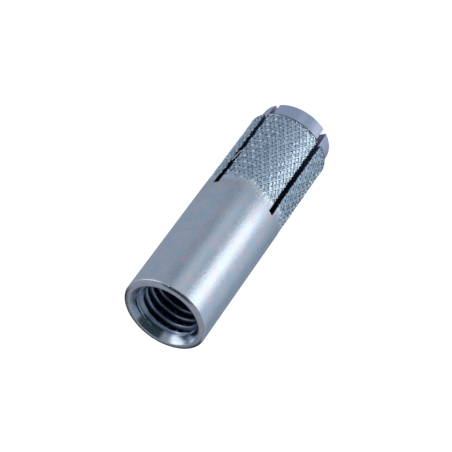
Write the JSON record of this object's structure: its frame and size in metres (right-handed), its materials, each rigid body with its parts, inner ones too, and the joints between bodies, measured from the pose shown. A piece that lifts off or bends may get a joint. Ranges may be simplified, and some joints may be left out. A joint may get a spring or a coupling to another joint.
{
  "type": "drop-in anchor",
  "caption": "Drop-in expansion anchor: a plated steel sleeve, tapped at its mouth, with a knurled and slotted nose that a loose plug inside spreads.",
  "frame": {"origin": "centre of the nose's end face, on which the anchor stands", "axes": "+Z along the sleeve's axis, out of the threaded mouth; +X and +Y each run through two of the slots"},
  "size_m": [0.0156, 0.0156, 0.05],
  "materials": {
    "zinc_plate": "satin blue-white zinc plating",
    "plug_steel": "plain headed steel"
  },
  "bodies": {
    "root": {"sleeve": "zinc_plate", "expander_plug": "plug_steel"}
  },
  "joints": []
}
